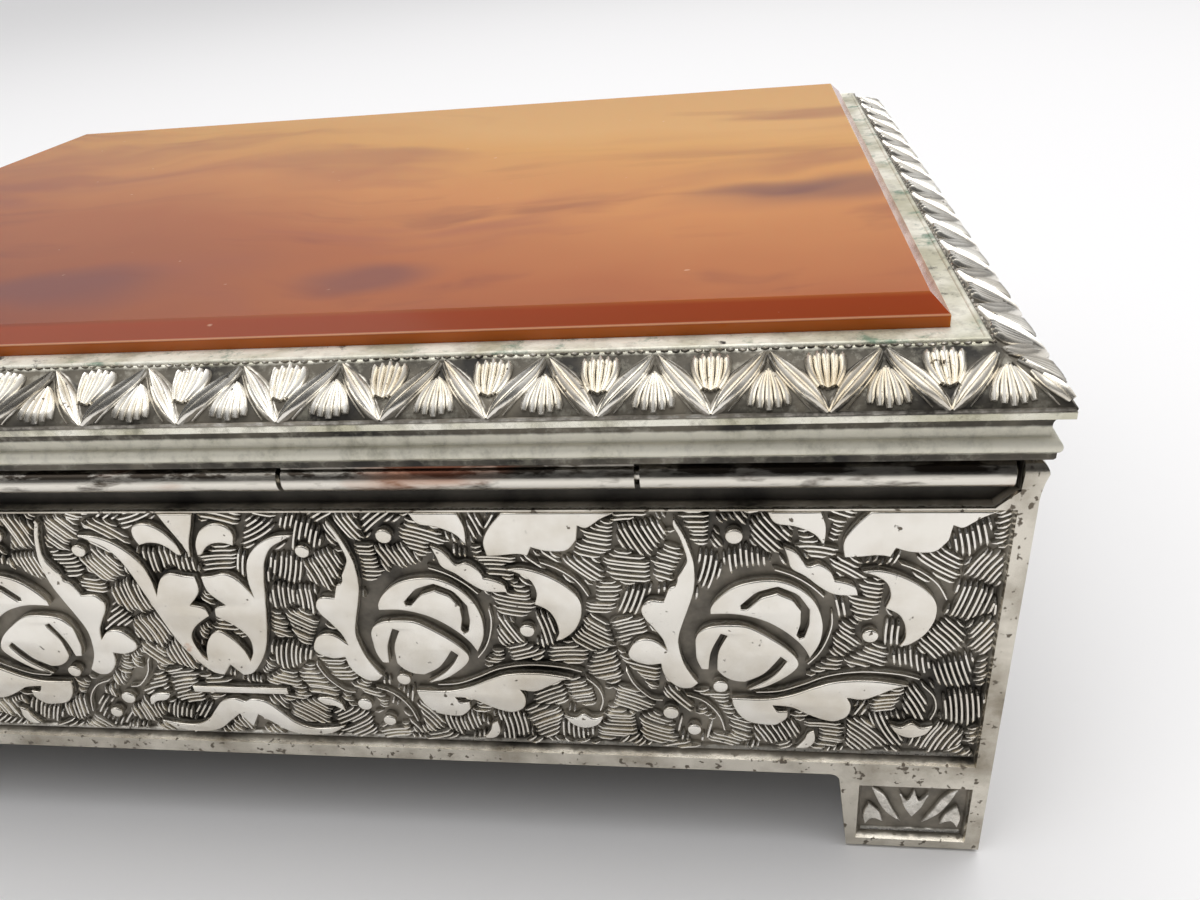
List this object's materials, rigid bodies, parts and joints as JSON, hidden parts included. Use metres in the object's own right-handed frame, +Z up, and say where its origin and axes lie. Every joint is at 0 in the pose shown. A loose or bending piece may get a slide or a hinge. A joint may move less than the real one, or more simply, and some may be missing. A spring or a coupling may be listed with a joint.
{
  "type": "cigarette box",
  "caption": "Footed rectangular metal box with cedar lining, relief panels and a hinged moulded lid that holds a bevelled amber slab.",
  "frame": {"origin": "centre of the underside of the four feet", "axes": "+Z up, front of the box towards -Y, hinge along +Y, +X to the right as seen from the front"},
  "size_m": [0.1314, 0.0958, 0.05],
  "materials": {
    "plated_casting": "worn silver plate with dark recesses",
    "sheet_metal": "dull sheet",
    "hinge_metal": "worn plate",
    "amber_plastic": "polished marbled amber",
    "cedar": "planed, unvarnished",
    "card": "plain"
  },
  "bodies": {
    "box": {"panel_front": "plated_casting", "panel_right": "plated_casting", "panel_back": "plated_casting", "panel_left": "plated_casting", "bottom_plate": "sheet_metal", "liner_floor": "cedar", "liner_front": "cedar", "liner_right": "cedar", "liner_back": "cedar", "liner_left": "cedar", "liner_divider": "cedar", "hinge_knuckle_1": "hinge_metal", "hinge_knuckle_3": "hinge_metal", "hinge_knuckle_5": "hinge_metal", "hinge_pin": "hinge_metal"},
    "lid": {"lid_rail_front": "plated_casting", "lid_rail_right": "plated_casting", "lid_rail_back": "plated_casting", "lid_rail_left": "plated_casting", "amber_slab": "amber_plastic", "slab_backing_board": "card", "lid_lining": "cedar", "hinge_knuckle_2": "hinge_metal", "hinge_knuckle_4": "hinge_metal"}
  },
  "joints": [
    {"name": "lid_hinge", "type": "hinge", "parent": "box", "child": "lid", "pos_m": [0, 0.046, 0.0392], "axis": [-1, 0, 0], "range_deg": [0, 105]}
  ]
}
